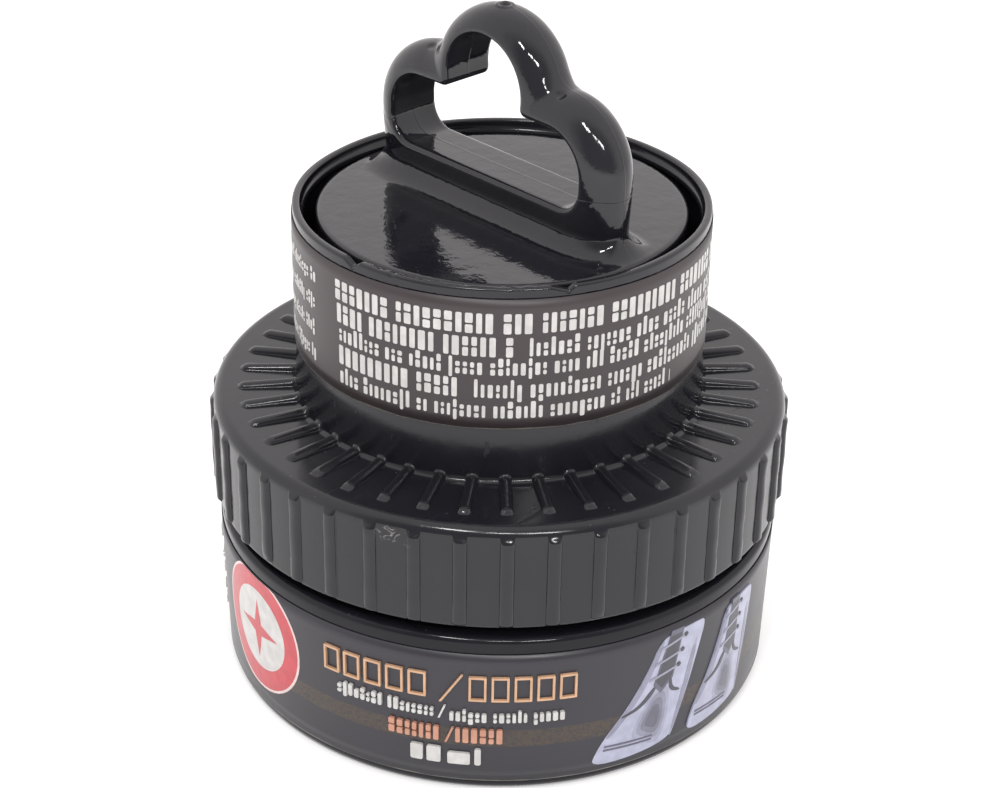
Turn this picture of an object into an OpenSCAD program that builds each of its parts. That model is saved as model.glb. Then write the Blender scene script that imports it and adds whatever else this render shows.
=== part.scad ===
// Shoe cream jar with a ribbed screw cap and a sponge applicator held in a cup on the cap.
// Origin at the centre of the jar's foot, +Z up, millimetres.

/* [Jar] */
// Radius of the jar's wall just above its foot
jar_foot_r = 30.15; // [29.9:0.05:30.4]
// Radius of the jar's wall just under its shoulder
jar_top_r = 30.5; // [30.4:0.05:30.7]
// Height of the jar's shoulder above its foot
shoulder_z = 19.2; // [18.8:0.1:20]
// Thickness of the jar's wall
jar_wall = 1.4; // [1.1:0.1:1.6]
// Radius of the rounding round the jar's foot
foot_round = 1.1; // [0.8:0.1:1.2]
// Radius of the rounding on the jar's shoulder
shoulder_round = 0.8; // [0.5:0.1:1]
// Depth of the hollow under the jar
push_up = 0.8; // [0.6:0.1:1]
// Outer radius of the jar's neck between its threads
neck_r = 28.2; // [28:0.1:28.3]
// Height of the top of the neck above the foot
neck_top_z = 29.5; // [29.3:0.1:29.5]

/* [Fill] */
// Height of the surface of the cream above the foot
cream_top_z = 22.7; // [18:0.1:25]

/* [Screw thread] */
// Rise of the thread in one turn
pitch = 3.6; // [3.4:0.1:3.6]
// Depth of the thread on the neck
neck_thread_depth = 1.15; // [0.9:0.05:1.2]
// Depth of the thread in the cap
cap_thread_depth = 0.75; // [0.6:0.05:0.8]
// Turns of thread on the neck
neck_turns = 1.25; // [1:0.25:1.25]
// Turns of thread in the cap
cap_turns = 1; // [0.75:0.25:1]

/* [Cap] */
// Radius of the cap between its grip ribs
cap_r = 30.8; // [30.7:0.1:31.4]
// Height of the lower edge of the cap's skirt above the foot
skirt_z = 20.8; // [20.6:0.1:21.4]
// Height of the cap's top face above the foot
cap_top_z = 32.2; // [32.2:0.1:32.8]
// Thickness of the cap's top plate
cap_plate = 1.4; // [1:0.1:1.4]
// Radius of the rounding round the cap's top edge
cap_round = 1.15; // [0.8:0.05:1.3]
// Number of ribs round the cap
rib_count = 42; // [36:1:48]
// Angle of the first rib from the +X axis
rib_phase = 0.9; // [0:0.1:8]
// Width of the upright grip ribs
side_rib_w = 1.35; // [1:0.05:1.6]
// How far the upright grip ribs stand proud of the cap
side_rib_out = 0.45; // [0.3:0.05:0.6]
// Width of the ribs on the cap's top
top_rib_w = 1.1; // [0.9:0.05:1.3]
// Height of the ribs on the cap's top where they meet the cup
top_rib_h = 0.7; // [0.5:0.05:0.9]
// Height of the ribs on the cap's top just before their sloping outer end
top_rib_end_h = 0.45; // [0.3:0.05:0.5]
// Radius that the ribs on the cap's top reach
top_rib_end_r = 28; // [27:0.1:29]

/* [Applicator cup] */
// Outer radius of the cup at its foot
cup_foot_r = 22; // [21.8:0.1:22.6]
// Outer radius of the cup along its label
cup_r = 21.7; // [21.5:0.1:21.8]
// Thickness of the cup's wall
cup_wall = 0.85; // [0.7:0.05:0.9]
// Height of the cup's rim above the foot
rim_z = 53.6; // [53.4:0.1:54.4]
// How far the bead inside the rim stands in from the cup's wall
bead_in = 0.35; // [0.2:0.05:0.4]

/* [Labels] */
// Thickness of both wrap labels
label_t = 0.12; // [0.08:0.01:0.2]
// Height of the lower edge of the jar's label above the foot
jar_label_low_z = 1.35; // [1.3:0.05:2]
// Height of the upper edge of the jar's label above the foot
jar_label_high_z = 17.4; // [15:0.1:17.6]
// Height of the lower edge of the cup's label above the foot
cup_label_low_z = 38.25; // [37.8:0.05:39.4]
// Height of the upper edge of the cup's label above the foot
cup_label_high_z = 52.4; // [50:0.1:52.6]

/* [Applicator] */
// Radius of the applicator's disc
disc_r = 19.3; // [18.8:0.1:19.6]
// Height of the top of the disc above the foot
disc_z = 52.6; // [52.2:0.1:53]
// Thickness of the disc
disc_t = 2.2; // [1.8:0.1:2.6]
// Thickness of the handle between its flat faces
handle_t = 6.4; // [5.6:0.1:7]
// Half of the handle's length
handle_half = 17.1; // [16.8:0.1:17.4]
// Half of the length of the handle's finger hole
hole_half = 13.6; // [13:0.1:13.8]
// Height of the bar under the finger hole above the disc
bar_h = 4.2; // [3.8:0.1:4.6]
// Radius of the hollow rounding between the bar and the disc
bar_fillet = 2.4; // [1.5:0.1:2.8]

/* [Sponge and liner] */
// Radius of the sponge
sponge_r = 18.9; // [18:0.1:19]
// Height of the sponge
sponge_h = 16.2; // [14:0.1:16.4]
// Thickness of the adhesive between the disc and the sponge
adhesive_t = 0.4; // [0.3:0.1:0.6]
// Thickness of the foam liner in the cap
liner_t = 1.2; // [1:0.1:1.2]
// Radius of the foam liner in the cap
liner_r = 29.35; // [29:0.05:29.4]

/* [Hidden] */
$fn = 180;
hair = 0.05;
black = [0.05, 0.05, 0.055];

over = 1; // how far a cutting shape runs past what it cuts

// Jar
jar_floor_z = push_up + 1.8;
jar_inner_r = jar_foot_r - jar_wall;
neck_bore_r = neck_r - jar_wall;
foot_ring_w = 2.8;
push_up_r = jar_foot_r - foot_round - foot_ring_w;
floor_bevel = 2;
neck_root_h = 1;
inner_shoulder_z = shoulder_z - 1.3;
sticker_t = 0.12;
sticker_r = 15;

// Cap
bore_r = 29.7;
plate_under_z = cap_top_z - cap_plate;
side_rib_low_z = skirt_z + 0.2;
side_rib_top_z = cap_top_z - 1;
side_rib_bevel = 0.45;
rib_sunk = 0.4;
top_rib_slope = 0.8; // length of the top ribs' sloping outer end
rib_root = 0.7; // how far the top ribs reach into the cup's wall
cup_taper_z = cap_top_z + 5.6;
bead_z = rim_z - 1.6;
rim_round = 0.3;

// Screw thread: the two ridges run half a pitch apart
thread_root_w = 1.8;
thread_crest_w = 0.8;
thread_steps = 60;
thread_fade = 0.07;
thread_dip = 0.3;
thread_sunk = 0.4;
cap_thread_z = skirt_z + 1.4;
cap_thread_a = 12;

// Handle: heights are above the disc
side_lobe_r = 7.8;
side_lobe_x = handle_half - side_lobe_r;
side_lobe_z = 7.4;
lobe_gap = 1.5; // how far below the side lobes' tops the space between them is filled
handle_root = 0.5; // how far the handle is sunk into the disc
top_lobe_z = 13.2;
top_lobe_r = 8.3;
hole_side_r = 4.4;
hole_side_z = 7.6;
hole_corner_r = 2.4;
hole_top_z = 13.6;
hole_top_r = 5.3;
disc_edge = 0.4;
sponge_top_z = disc_z - disc_t - adhesive_t;
adhesive_inset = 1;

// Radius of the jar's tapering wall at a height
function jar_wall_r(z) =
    jar_foot_r + (jar_top_r - jar_foot_r) * (z - foot_round) / (shoulder_z - foot_round);

// Share of a thread ridge's full height along its run: under the wall at both ends, then 1
function fade(t) = min(1, t / thread_fade - thread_dip, (1 - t) / thread_fade - thread_dip);

// One ridge section at angle a: inner low, outer low, outer high, inner high
function ridge_ring(a, z, inner, outer, inner_w, outer_w) = [
    [inner * cos(a), inner * sin(a), z - inner_w / 2],
    [outer * cos(a), outer * sin(a), z - outer_w / 2],
    [outer * cos(a), outer * sin(a), z + outer_w / 2],
    [inner * cos(a), inner * sin(a), z + inner_w / 2]
];

// Section of a ridge that stands out from a neck, or in from a bore when crest < root
function ridge_section(a, z, root, crest) =
    crest > root
        ? ridge_ring(a, z, root - thread_sunk, crest, thread_root_w, thread_crest_w)
        : ridge_ring(a, z, crest, root + thread_sunk, thread_crest_w, thread_root_w);

// Helical ridge from a root radius to a crest radius, starting at start_z and start_a
module thread_ridge(root, crest, turns, start_z, start_a) {
    steps = round(thread_steps * turns);
    rings = [
        for (i = [0:steps]) let (t = i / steps)
            ridge_section(
                start_a + 360 * turns * t, start_z + pitch * turns * t,
                root, root + (crest - root) * fade(t)
            )
    ];
    points = [for (ring = rings) for (p = ring) p];
    sides = [
        for (i = [0:steps - 1]) for (k = [0:3])
            [4 * i + k, 4 * i + (k + 1) % 4, 4 * i + 4 + (k + 1) % 4, 4 * i + 4 + k]
    ];
    last = 4 * steps;
    ends = [[3, 2, 1, 0], [last, last + 1, last + 2, last + 3]];
    polyhedron(points = points, faces = concat(sides, ends), convexity = 6);
}

module jar_profile() {
    difference() {
        union() {
            polygon([
                [0, 0],
                [jar_foot_r - foot_round, 0],
                [jar_wall_r(foot_round), foot_round],
                [jar_wall_r(shoulder_z - shoulder_round), shoulder_z - shoulder_round],
                [jar_top_r - shoulder_round, shoulder_z],
                [neck_r, shoulder_z],
                [neck_r, neck_top_z],
                [0, neck_top_z]
            ]);
            translate([jar_foot_r - foot_round, foot_round])
                circle(r = foot_round);
            translate([jar_wall_r(shoulder_z - shoulder_round) - shoulder_round, shoulder_z - shoulder_round])
                circle(r = shoulder_round);
        }
        polygon([
            [-over, jar_floor_z],
            [jar_inner_r - floor_bevel, jar_floor_z],
            [jar_inner_r, jar_floor_z + floor_bevel],
            [jar_inner_r, inner_shoulder_z],
            [neck_bore_r, inner_shoulder_z + neck_root_h],
            [neck_bore_r, neck_top_z + over],
            [-over, neck_top_z + over]
        ]);
        translate([-over, -over])
            square([push_up_r + over, push_up + over]);
    }
}

module jar_body() {
    color(black)
        union() {
            rotate_extrude()
                jar_profile();
            thread_ridge(
                neck_r, neck_r + neck_thread_depth, neck_turns,
                cap_thread_z + pitch / 2 - pitch * (neck_turns - cap_turns) / 2,
                cap_thread_a - 180 * (neck_turns - cap_turns)
            );
        }
}

module jar_label() {
    color([0.16, 0.14, 0.15])
        rotate_extrude()
            polygon([
                [jar_wall_r(jar_label_low_z), jar_label_low_z],
                [jar_wall_r(jar_label_low_z) + label_t, jar_label_low_z],
                [jar_wall_r(jar_label_high_z) + label_t, jar_label_high_z],
                [jar_wall_r(jar_label_high_z), jar_label_high_z]
            ]);
}

module base_sticker() {
    color("white")
        translate([0, 0, push_up - sticker_t])
            cylinder(r = sticker_r, h = sticker_t);
}

module shoe_cream() {
    color([0.03, 0.03, 0.035])
        rotate_extrude()
            polygon([
                [0, jar_floor_z + hair],
                [jar_inner_r - floor_bevel - hair, jar_floor_z + hair],
                [jar_inner_r - hair, jar_floor_z + floor_bevel],
                [jar_inner_r - hair, inner_shoulder_z - hair],
                [neck_bore_r - hair, inner_shoulder_z + neck_root_h - hair],
                [neck_bore_r - hair, cream_top_z],
                [0, cream_top_z]
            ]);
}

module cap_liner() {
    color([0.9, 0.9, 0.88])
        translate([0, 0, neck_top_z + hair])
            cylinder(r = liner_r, h = liner_t);
}

// Cap and cup in section, with the threaded bore open below and the cup open above
module cap_profile() {
    cup_bore_r = cup_r - cup_wall;
    difference() {
        union() {
            translate([0, skirt_z])
                square([cap_r, cap_top_z - cap_round - skirt_z]);
            translate([0, cap_top_z - cap_round - over])
                square([cap_r - cap_round, cap_round + over]);
            translate([cap_r - cap_round, cap_top_z - cap_round])
                circle(r = cap_round);
            polygon([
                [0, cap_top_z - over],
                [cup_foot_r, cap_top_z - over],
                [cup_foot_r, cap_top_z],
                [cup_r, cup_taper_z],
                [cup_r, rim_z - rim_round],
                [cup_r - rim_round, rim_z],
                [0, rim_z]
            ]);
            translate([cup_r - rim_round, rim_z - rim_round])
                circle(r = rim_round);
        }
        translate([-over, skirt_z - over])
            square([bore_r + over, plate_under_z - skirt_z + over]);
        polygon([
            [-over, cap_top_z],
            [cup_bore_r, cap_top_z],
            [cup_bore_r, bead_z - bead_in],
            [cup_bore_r - bead_in, bead_z],
            [cup_bore_r, bead_z + bead_in],
            [cup_bore_r, rim_z + over],
            [-over, rim_z + over]
        ]);
    }
}

// Upright grip rib with a bevelled top, rooted in the skirt
module side_rib() {
    rotate([90, 0, 0])
        linear_extrude(side_rib_w, center = true)
            polygon([
                [cap_r - rib_sunk, side_rib_low_z],
                [cap_r + side_rib_out, side_rib_low_z],
                [cap_r + side_rib_out, side_rib_top_z - side_rib_bevel],
                [cap_r - rib_sunk, side_rib_top_z + rib_sunk]
            ]);
}

// Rib across the cap's top with a bevelled outer end, rooted in the plate
module top_rib() {
    rotate([90, 0, 0])
        linear_extrude(top_rib_w, center = true)
            polygon([
                [cup_foot_r - rib_root, cap_top_z - rib_sunk],
                [top_rib_end_r, cap_top_z - rib_sunk],
                [top_rib_end_r, cap_top_z],
                [top_rib_end_r - top_rib_slope, cap_top_z + top_rib_end_h],
                [cup_foot_r - rib_root, cap_top_z + top_rib_h]
            ]);
}

module screw_cap() {
    color(black)
        union() {
            rotate_extrude()
                cap_profile();
            for (i = [0:rib_count - 1])
                rotate([0, 0, rib_phase + 360 * i / rib_count]) {
                    side_rib();
                    top_rib();
                }
            thread_ridge(bore_r, bore_r - cap_thread_depth, cap_turns, cap_thread_z, cap_thread_a);
        }
}

module cup_label() {
    color([0.2, 0.18, 0.19])
        translate([0, 0, cup_label_low_z])
            difference() {
                cylinder(r = cup_r + label_t, h = cup_label_high_z - cup_label_low_z);
                translate([0, 0, -over])
                    cylinder(r = cup_r, h = cup_label_high_z - cup_label_low_z + 2 * over);
            }
}

// Three-lobed outline of the handle, standing on the disc
module handle_outline() {
    for (side = [-1, 1])
        translate([side * side_lobe_x, side_lobe_z])
            circle(r = side_lobe_r);
    translate([0, top_lobe_z])
        circle(r = top_lobe_r);
    translate([-handle_half, -handle_root])
        square([2 * handle_half, side_lobe_z + handle_root]);
    translate([-side_lobe_x, 0])
        square([2 * side_lobe_x, side_lobe_z + side_lobe_r - lobe_gap]);
}

// Finger hole: a slot with rounded corners and a third round space in the middle above it
module finger_hole() {
    slot_low = bar_h + hole_corner_r;
    intersection() {
        for (side = [-1, 1])
            translate([side * (hole_half - hole_side_r), hole_side_z])
                circle(r = hole_side_r);
        translate([-hole_half, slot_low])
            square([2 * hole_half, hole_top_z]);
    }
    for (side = [-1, 1])
        translate([side * (hole_half - hole_corner_r), slot_low])
            circle(r = hole_corner_r);
    translate([-hole_half, slot_low])
        square([2 * hole_half, hole_side_z - slot_low]);
    translate([hole_corner_r - hole_half, bar_h])
        square([2 * (hole_half - hole_corner_r), hole_side_z - bar_h]);
    translate([hole_side_r - hole_half, hole_side_z - over])
        square([2 * (hole_half - hole_side_r), hole_side_r + over]);
    translate([0, hole_top_z])
        circle(r = hole_top_r);
}

// Section across the bar: upright faces that run out into the disc in hollow roundings
module bar_section() {
    half = handle_t / 2;
    difference() {
        translate([-half - bar_fillet, -handle_root])
            square([handle_t + 2 * bar_fillet, bar_fillet + handle_root]);
        for (side = [-1, 1])
            translate([side * (half + bar_fillet), bar_fillet])
                circle(r = bar_fillet);
    }
}

module applicator_handle() {
    bar_len = 2 * (handle_half - handle_t / 2);
    color(black)
        union() {
            translate([0, 0, disc_z - disc_t])
                rotate_extrude()
                    union() {
                        square([disc_r - disc_edge, disc_t]);
                        square([disc_r, disc_t - disc_edge]);
                        translate([disc_r - disc_edge, disc_t - disc_edge])
                            circle(r = disc_edge);
                    }
            translate([0, 0, disc_z]) {
                intersection() {
                    rotate([90, 0, 0])
                        linear_extrude(handle_t, center = true)
                            difference() {
                                handle_outline();
                                finger_hole();
                            }
                    translate([0, 0, -handle_root])
                        linear_extrude(handle_root + top_lobe_z + top_lobe_r + over)
                            union() {
                                square([bar_len, handle_t], center = true);
                                for (side = [-1, 1])
                                    translate([side * bar_len / 2, 0])
                                        circle(d = handle_t);
                            }
                }
                rotate([90, 0, 90])
                    linear_extrude(bar_len, center = true)
                        bar_section();
            }
        }
}

module sponge_adhesive() {
    color([0.85, 0.8, 0.6])
        translate([0, 0, sponge_top_z])
            cylinder(r = sponge_r - adhesive_inset, h = adhesive_t);
}

module sponge() {
    color([0.95, 0.9, 0.7])
        translate([0, 0, sponge_top_z - sponge_h])
            cylinder(r = sponge_r, h = sponge_h);
}

jar_body();
jar_label();
base_sticker();
shoe_cream();
cap_liner();
screw_cap();
cup_label();
applicator_handle();
sponge_adhesive();
sponge();
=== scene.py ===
"""Looks of a shoe cream jar with a ribbed screw cap and a sponge applicator.

Lengths in this script are millimetres in the row frame: origin at the centre of the jar's foot, +Z up.
mesh_piece() turns them into metres. Angles go round +Z from the +X axis, in degrees.
"""

import math

import bmesh
import bpy
import numpy as np
from mathutils import Matrix, Vector


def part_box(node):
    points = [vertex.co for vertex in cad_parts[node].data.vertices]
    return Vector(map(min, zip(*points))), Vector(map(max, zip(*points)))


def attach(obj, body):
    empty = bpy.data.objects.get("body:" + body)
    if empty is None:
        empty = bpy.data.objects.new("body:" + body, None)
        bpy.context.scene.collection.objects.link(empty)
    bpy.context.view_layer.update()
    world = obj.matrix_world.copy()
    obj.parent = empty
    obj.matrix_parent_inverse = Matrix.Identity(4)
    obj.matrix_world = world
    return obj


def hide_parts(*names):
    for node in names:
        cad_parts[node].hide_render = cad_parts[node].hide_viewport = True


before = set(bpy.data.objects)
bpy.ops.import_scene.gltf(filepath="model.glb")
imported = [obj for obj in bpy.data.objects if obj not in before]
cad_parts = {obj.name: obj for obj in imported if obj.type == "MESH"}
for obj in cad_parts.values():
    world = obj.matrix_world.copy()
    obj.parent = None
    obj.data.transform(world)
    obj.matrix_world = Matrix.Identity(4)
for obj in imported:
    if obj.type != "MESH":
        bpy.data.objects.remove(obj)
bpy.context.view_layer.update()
scene = bpy.context.scene

MM = 0.001


def heights(node):
    """Lowest and highest point of a CAD node."""
    low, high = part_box(node)
    return low.z / MM, high.z / MM


def radius(node):
    """Largest radius of a round CAD node."""
    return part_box(node)[1].x / MM


# ---------------------------------------------------------------- sizes
FRONT = -44.0  # the side of the jar that faces the camera

JAR_FOOT_R = 30.15
JAR_FOOT_ROUND = 1.1
JAR_TOP_R = 30.5
SHOULDER_Z = 19.2
NECK_R = 28.2
NECK_BORE_R = 26.8
JAR_INNER_R = 28.75
JAR_FLOOR_Z = 2.6
PUSH_UP_R = 26.25
PUSH_UP = 0.8
NECK_TOP_Z = heights("jar_body")[1]
CREAM_Z = heights("shoe_cream")[1]

CAP_R = 30.8
SKIRT_Z, RIM_Z = heights("screw_cap")
CAP_TOP_Z = 32.2
PLATE_UNDER_Z = 30.8
BORE_R = 29.7
RIB_COUNT = 42
RIB_PHASE = 0.9
SIDE_RIB_W = 1.5  # at its foot
SIDE_RIB_OUT = 0.45
TOP_RIB_W = 1.3
TOP_RIB_H = 0.7  # at the cup
TOP_RIB_END_H = 0.48  # just before the rounded outer end
TOP_RIB_SLOPE = 0.8
TOP_RIB_END_R = 28.0
CAP_ROUND = 1.15
CUP_FOOT_R = 22.0
CUP_R = 21.7
CUP_BORE_R = 20.85
CUP_TAPER_Z = CAP_TOP_Z + 5.6
BEAD_Z = RIM_Z - 1.6
BEAD_IN = 0.35

LABEL_T = 0.12
JAR_LABEL_Z = heights("jar_label")
CUP_LABEL_Z = heights("cup_label")

PITCH = 3.6
THREAD_HALF = 0.9  # half of the ridge's width at its root
THREAD_FADE = 0.07  # share of a ridge's length over which each end fades out
THREAD_SUNK = 0.3  # share of its depth that a ridge's ends lie below the wall
NECK_THREAD = dict(root=NECK_R, crest=NECK_R + 1.15, turns=1.25, z=23.55, start=-33.0)
CAP_THREAD = dict(root=BORE_R, crest=BORE_R - 0.75, turns=1.0, z=22.2, start=12.0)

DISC_Z = 52.6
DISC_R = 19.3
DISC_T = 2.2
SPONGE_R = radius("sponge")
SPONGE_Z = heights("sponge")
ADHESIVE_Z = heights("sponge_adhesive")
LINER_R = radius("cap_liner")
LINER_Z = heights("cap_liner")


# ---------------------------------------------------------------- mesh helpers
def mesh_piece(name, points, faces, material, body, slot, replaced=()):
    """A smooth mesh object from points in millimetres, riding on a CAD body."""
    mesh = bpy.data.meshes.new(name)
    mesh.from_pydata((np.asarray(points) * MM).tolist(), [], faces)
    mesh.shade_smooth()
    mesh.materials.append(material)
    obj = bpy.data.objects.new(name, mesh)
    scene.collection.objects.link(obj)
    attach(obj, body)
    if replaced:
        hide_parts(*replaced)
    return obj


def arc(centre_r, centre_z, r, start, end, count=6):
    """Points on an arc of a profile, from one angle to another."""
    a = np.radians(np.linspace(start, end, count))
    return [(centre_r + r * math.cos(t), centre_z + r * math.sin(t)) for t in a]


def densify(profile, step):
    """Puts more points on the long stretches of a profile."""
    out = [profile[0]]
    for (r0, z0), (r1, z1) in zip(profile, profile[1:]):
        n = max(1, math.ceil(math.hypot(r1 - r0, z1 - z0) / step))
        out += [(r0 + (r1 - r0) * k / n, z0 + (z1 - z0) * k / n) for k in range(1, n + 1)]
    return np.array(out)


def ring_faces(rings, around):
    """Quads between rings of points that close round the axis."""
    i = np.arange(rings - 1)[:, None] * around
    j = np.arange(around)[None, :]
    k = (j + 1) % around
    return np.stack([i + j, i + k, i + around + k, i + around + j], -1).reshape(-1, 4).tolist()


def ring_points(section, around, shape=None):
    """A ring of points for each point of a section. shape(a, r, z) moves them."""
    section = np.asarray(section)
    a = np.linspace(0, 2 * math.pi, around, endpoint=False)[None, :]
    r, z = section[:, :1] + 0 * a, section[:, 1:] + 0 * a
    a = a + 0 * r
    if shape:
        a, r, z = shape(a, r, z)
    return np.stack([r * np.cos(a), r * np.sin(a), z], -1).reshape(-1, 3)


def revolve(profile, around=240, shape=None):
    """Turns a profile that runs from the axis to the axis."""
    rings = ring_points(profile[1:-1], around, shape)
    count = len(profile) - 2
    points = np.concatenate([rings, [(0, 0, profile[0][1]), (0, 0, profile[-1][1])]])
    first, last = count * around, count * around + 1
    fans = []
    for j in range(around):
        k = (j + 1) % around
        fans.append([first, k, j])
        fans.append([last, (count - 1) * around + j, (count - 1) * around + k])
    return points, ring_faces(count, around) + fans


def join_meshes(*parts):
    """Several (points, faces) as one."""
    points, faces, base = [], [], 0
    for p, f in parts:
        points.append(np.asarray(p))
        faces += [[base + i for i in face] for face in f]
        base += len(p)
    return np.concatenate(points), faces


def helix(root, crest, turns, z, start):
    """A rounded thread ridge that fades out at both ends."""
    steps = round(72 * turns)
    out = 1 if crest > root else -1
    flank = [(-0.4, 1.0), (0.0, 0.9), (0.35, 0.68), (0.8, 0.5), (1.0, 0.3)]
    section = [(depth, -side) for depth, side in flank] + flank[::-1]
    points = []
    for s in range(steps + 1):
        t = s / steps
        fade = min(1, t / THREAD_FADE - THREAD_SUNK, (1 - t) / THREAD_FADE - THREAD_SUNK)
        angle = math.radians(start + 360 * turns * t)
        for depth, side in section:
            d = min(depth, fade) if depth > 0 else depth
            r = root + (crest - root) * d if depth > 0 else root + out * (depth if depth < 0 else min(0, fade))
            height = z + PITCH * turns * t + side * THREAD_HALF
            points.append((r * math.cos(angle), r * math.sin(angle), height))
    n = len(section)
    faces = []
    for s in range(steps):
        for k in range(n):
            q = [s * n + k, s * n + (k + 1) % n, (s + 1) * n + (k + 1) % n, (s + 1) * n + k]
            faces.append(q if out > 0 else q[::-1])
    cap0, cap1 = list(range(n))[::-1], [steps * n + k for k in range(n)]
    faces += [cap0, cap1] if out > 0 else [cap0[::-1], cap1[::-1]]
    return np.array(points), faces


def smooth01(t):
    """A smooth step from 0 to 1."""
    t = np.clip(t, 0, 1)
    return t * t * (3 - 2 * t)


def waves(x, y, seed, scale, octaves=4):
    """Smooth random surface made of sine waves, about -1 to 1."""
    rng = np.random.default_rng(seed)
    total = 0
    for k in range(octaves * 3):
        f = scale * rng.uniform(0.6, 2.2)
        a, p = rng.uniform(0, 2 * math.pi, 2)
        total = total + np.sin(f * (x * math.cos(a) + y * math.sin(a)) + p)
    return total / (octaves * 1.6)


# ---------------------------------------------------------------- material helpers
class Nodes:
    """Short calls for building one material's node tree. Lengths and heights in it are metres."""

    SOCKETS = dict(
        base="Base Color", rough="Roughness", specular="Specular IOR Level", ior="IOR", normal="Normal",
        coat="Coat Weight", coat_rough="Coat Roughness", sheen="Sheen Weight", subsurface="Subsurface Weight",
        sub_scale="Subsurface Scale", glow="Emission Color", glow_strength="Emission Strength",
    )

    def __init__(self, name):
        self.material = bpy.data.materials.new(name)
        self.material.use_nodes = True
        self.tree = self.material.node_tree
        self.shader = self.tree.nodes["Principled BSDF"]
        self.place = self.tree.nodes.new("ShaderNodeTexCoord").outputs["Object"]

    def node(self, kind, inputs=None, **settings):
        """A new node. Its inputs are set or linked by their names."""
        node = self.tree.nodes.new(kind)
        for key, value in settings.items():
            setattr(node, key, value)
        for key, value in (inputs or {}).items():
            self.link(value, node.inputs[key])
        return node

    def link(self, value, socket):
        """Sets a socket to a constant, or joins another socket to it. A colour may leave out its alpha."""
        if isinstance(value, bpy.types.NodeSocket):
            self.tree.links.new(value, socket)
        else:
            socket.default_value = (*value, 1.0) if socket.type == "RGBA" and len(value) == 3 else value

    def math(self, operation, a, b=None, c=None):
        node = self.node("ShaderNodeMath", operation=operation)
        for value, socket in zip((a, b, c), node.inputs):
            if value is not None:
                self.link(value, socket)
        return node.outputs[0]

    def product(self, first, *others):
        for value in others:
            first = self.math("MULTIPLY", first, value)
        return first

    def noise(self, scale, detail=3.0, rough=0.55, stretch=None, distortion=0.0):
        """Noise with features of about 1/scale metres."""
        inputs = dict(Scale=scale, Detail=detail, Roughness=rough, Distortion=distortion)
        inputs["Vector"] = self.stretched(stretch)
        return self.node("ShaderNodeTexNoise", inputs).outputs["Fac"]

    def stretched(self, stretch):
        """The place on the object, scaled along each axis."""
        if stretch is None:
            return self.place
        return self.node("ShaderNodeMapping", dict(Scale=stretch, Vector=self.place)).outputs["Vector"]

    def cells(self, scale, feature="F1"):
        """Distance to the middle of the nearest cell, with cells of about 1/scale metres."""
        node = self.node("ShaderNodeTexVoronoi", dict(Scale=scale, Vector=self.place), feature=feature)
        return node.outputs["Distance"]

    def range(self, value, low, high, out_low=0.0, out_high=1.0):
        """A smooth step of a value, from out_low at low to out_high at high."""
        inputs = {"Value": value, "From Min": low, "From Max": high, "To Min": out_low, "To Max": out_high}
        return self.node("ShaderNodeMapRange", inputs, interpolation_type="SMOOTHSTEP").outputs["Result"]

    def mix(self, factor, a, b):
        node = self.node("ShaderNodeMix", dict(Factor=factor), data_type="RGBA")
        self.link(a, node.inputs[6])
        self.link(b, node.inputs[7])
        return node.outputs[2]

    def bump(self, height, distance, normal=None):
        inputs = dict(Strength=1.0, Distance=distance, Height=height)
        if normal is not None:
            inputs["Normal"] = normal
        return self.node("ShaderNodeBump", inputs).outputs["Normal"]

    def axis(self, index):
        """The place on the object along x, y or z."""
        return self.node("ShaderNodeSeparateXYZ", dict(Vector=self.place)).outputs[index]

    def turned(self, degrees):
        """Distance along a level direction."""
        a = math.radians(degrees)
        across = self.math("MULTIPLY", self.axis(0), math.cos(a))
        return self.math("MULTIPLY_ADD", self.axis(1), math.sin(a), across)

    def from_axis(self):
        """Distance from the jar's axis."""
        x, y = self.axis(0), self.axis(1)
        return self.math("SQRT", self.math("MULTIPLY_ADD", x, x, self.math("MULTIPLY", y, y)))

    def up(self):
        """How far the surface faces up."""
        normal = self.node("ShaderNodeNewGeometry").outputs["Normal"]
        return self.node("ShaderNodeSeparateXYZ", dict(Vector=normal)).outputs[2]

    def set(self, **values):
        """Sets the shader's inputs and gives back the finished material."""
        for key, value in values.items():
            self.link(value, self.shader.inputs[self.SOCKETS[key]])
        return self.material


def moulded_plastic(name, rough=0.12, dust=0.5, wave=0.00003, wave_size=150, specular=0.5, seams=None, marks_and_highlight=None):
    """Glossy black moulded plastic with slight waves, faint scuffs, fine scratches and a little dust, and optional
    pale marks that paint scuffs and a highlight.
    """
    n = Nodes(name)
    cloud = n.range(n.noise(90, 4), 0.3, 0.75)
    fine = n.noise(1400, 2)
    scratch = n.range(n.noise(900, 3, 0.7, stretch=(1, 0.05, 0.3), distortion=0.4), 0.64, 0.7)
    specks = n.range(n.cells(1500), 0.1, 0.03)
    picked = n.range(n.noise(420, 2), 0.56, 0.62)
    upward = n.range(n.up(), 0.3, 0.9)
    speck = n.product(specks, picked, upward, dust)
    base = n.mix(cloud, (0.009, 0.009, 0.0125), (0.0125, 0.0123, 0.016))
    base = n.mix(speck, base, (0.3, 0.29, 0.27))
    # pale marks: real scuffs, and painted highlights such as the one on the cap's rim
    if marks_and_highlight:
        base = n.mix(marks_and_highlight(n), base, (0.42, 0.4, 0.38))
    roughness = n.math("ADD", n.range(cloud, 0, 1, rough, rough + 0.06), n.math("MULTIPLY", scratch, 0.15))
    waviness = n.bump(n.noise(wave_size, 3), wave)
    normal = n.bump(n.math("ADD", fine, n.math("MULTIPLY", scratch, -0.8)), 0.000005, waviness)
    if seams:
        normal = seams(n, normal)
    return n.set(base=base, rough=roughness, normal=normal, ior=1.5, specular=specular)


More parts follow.
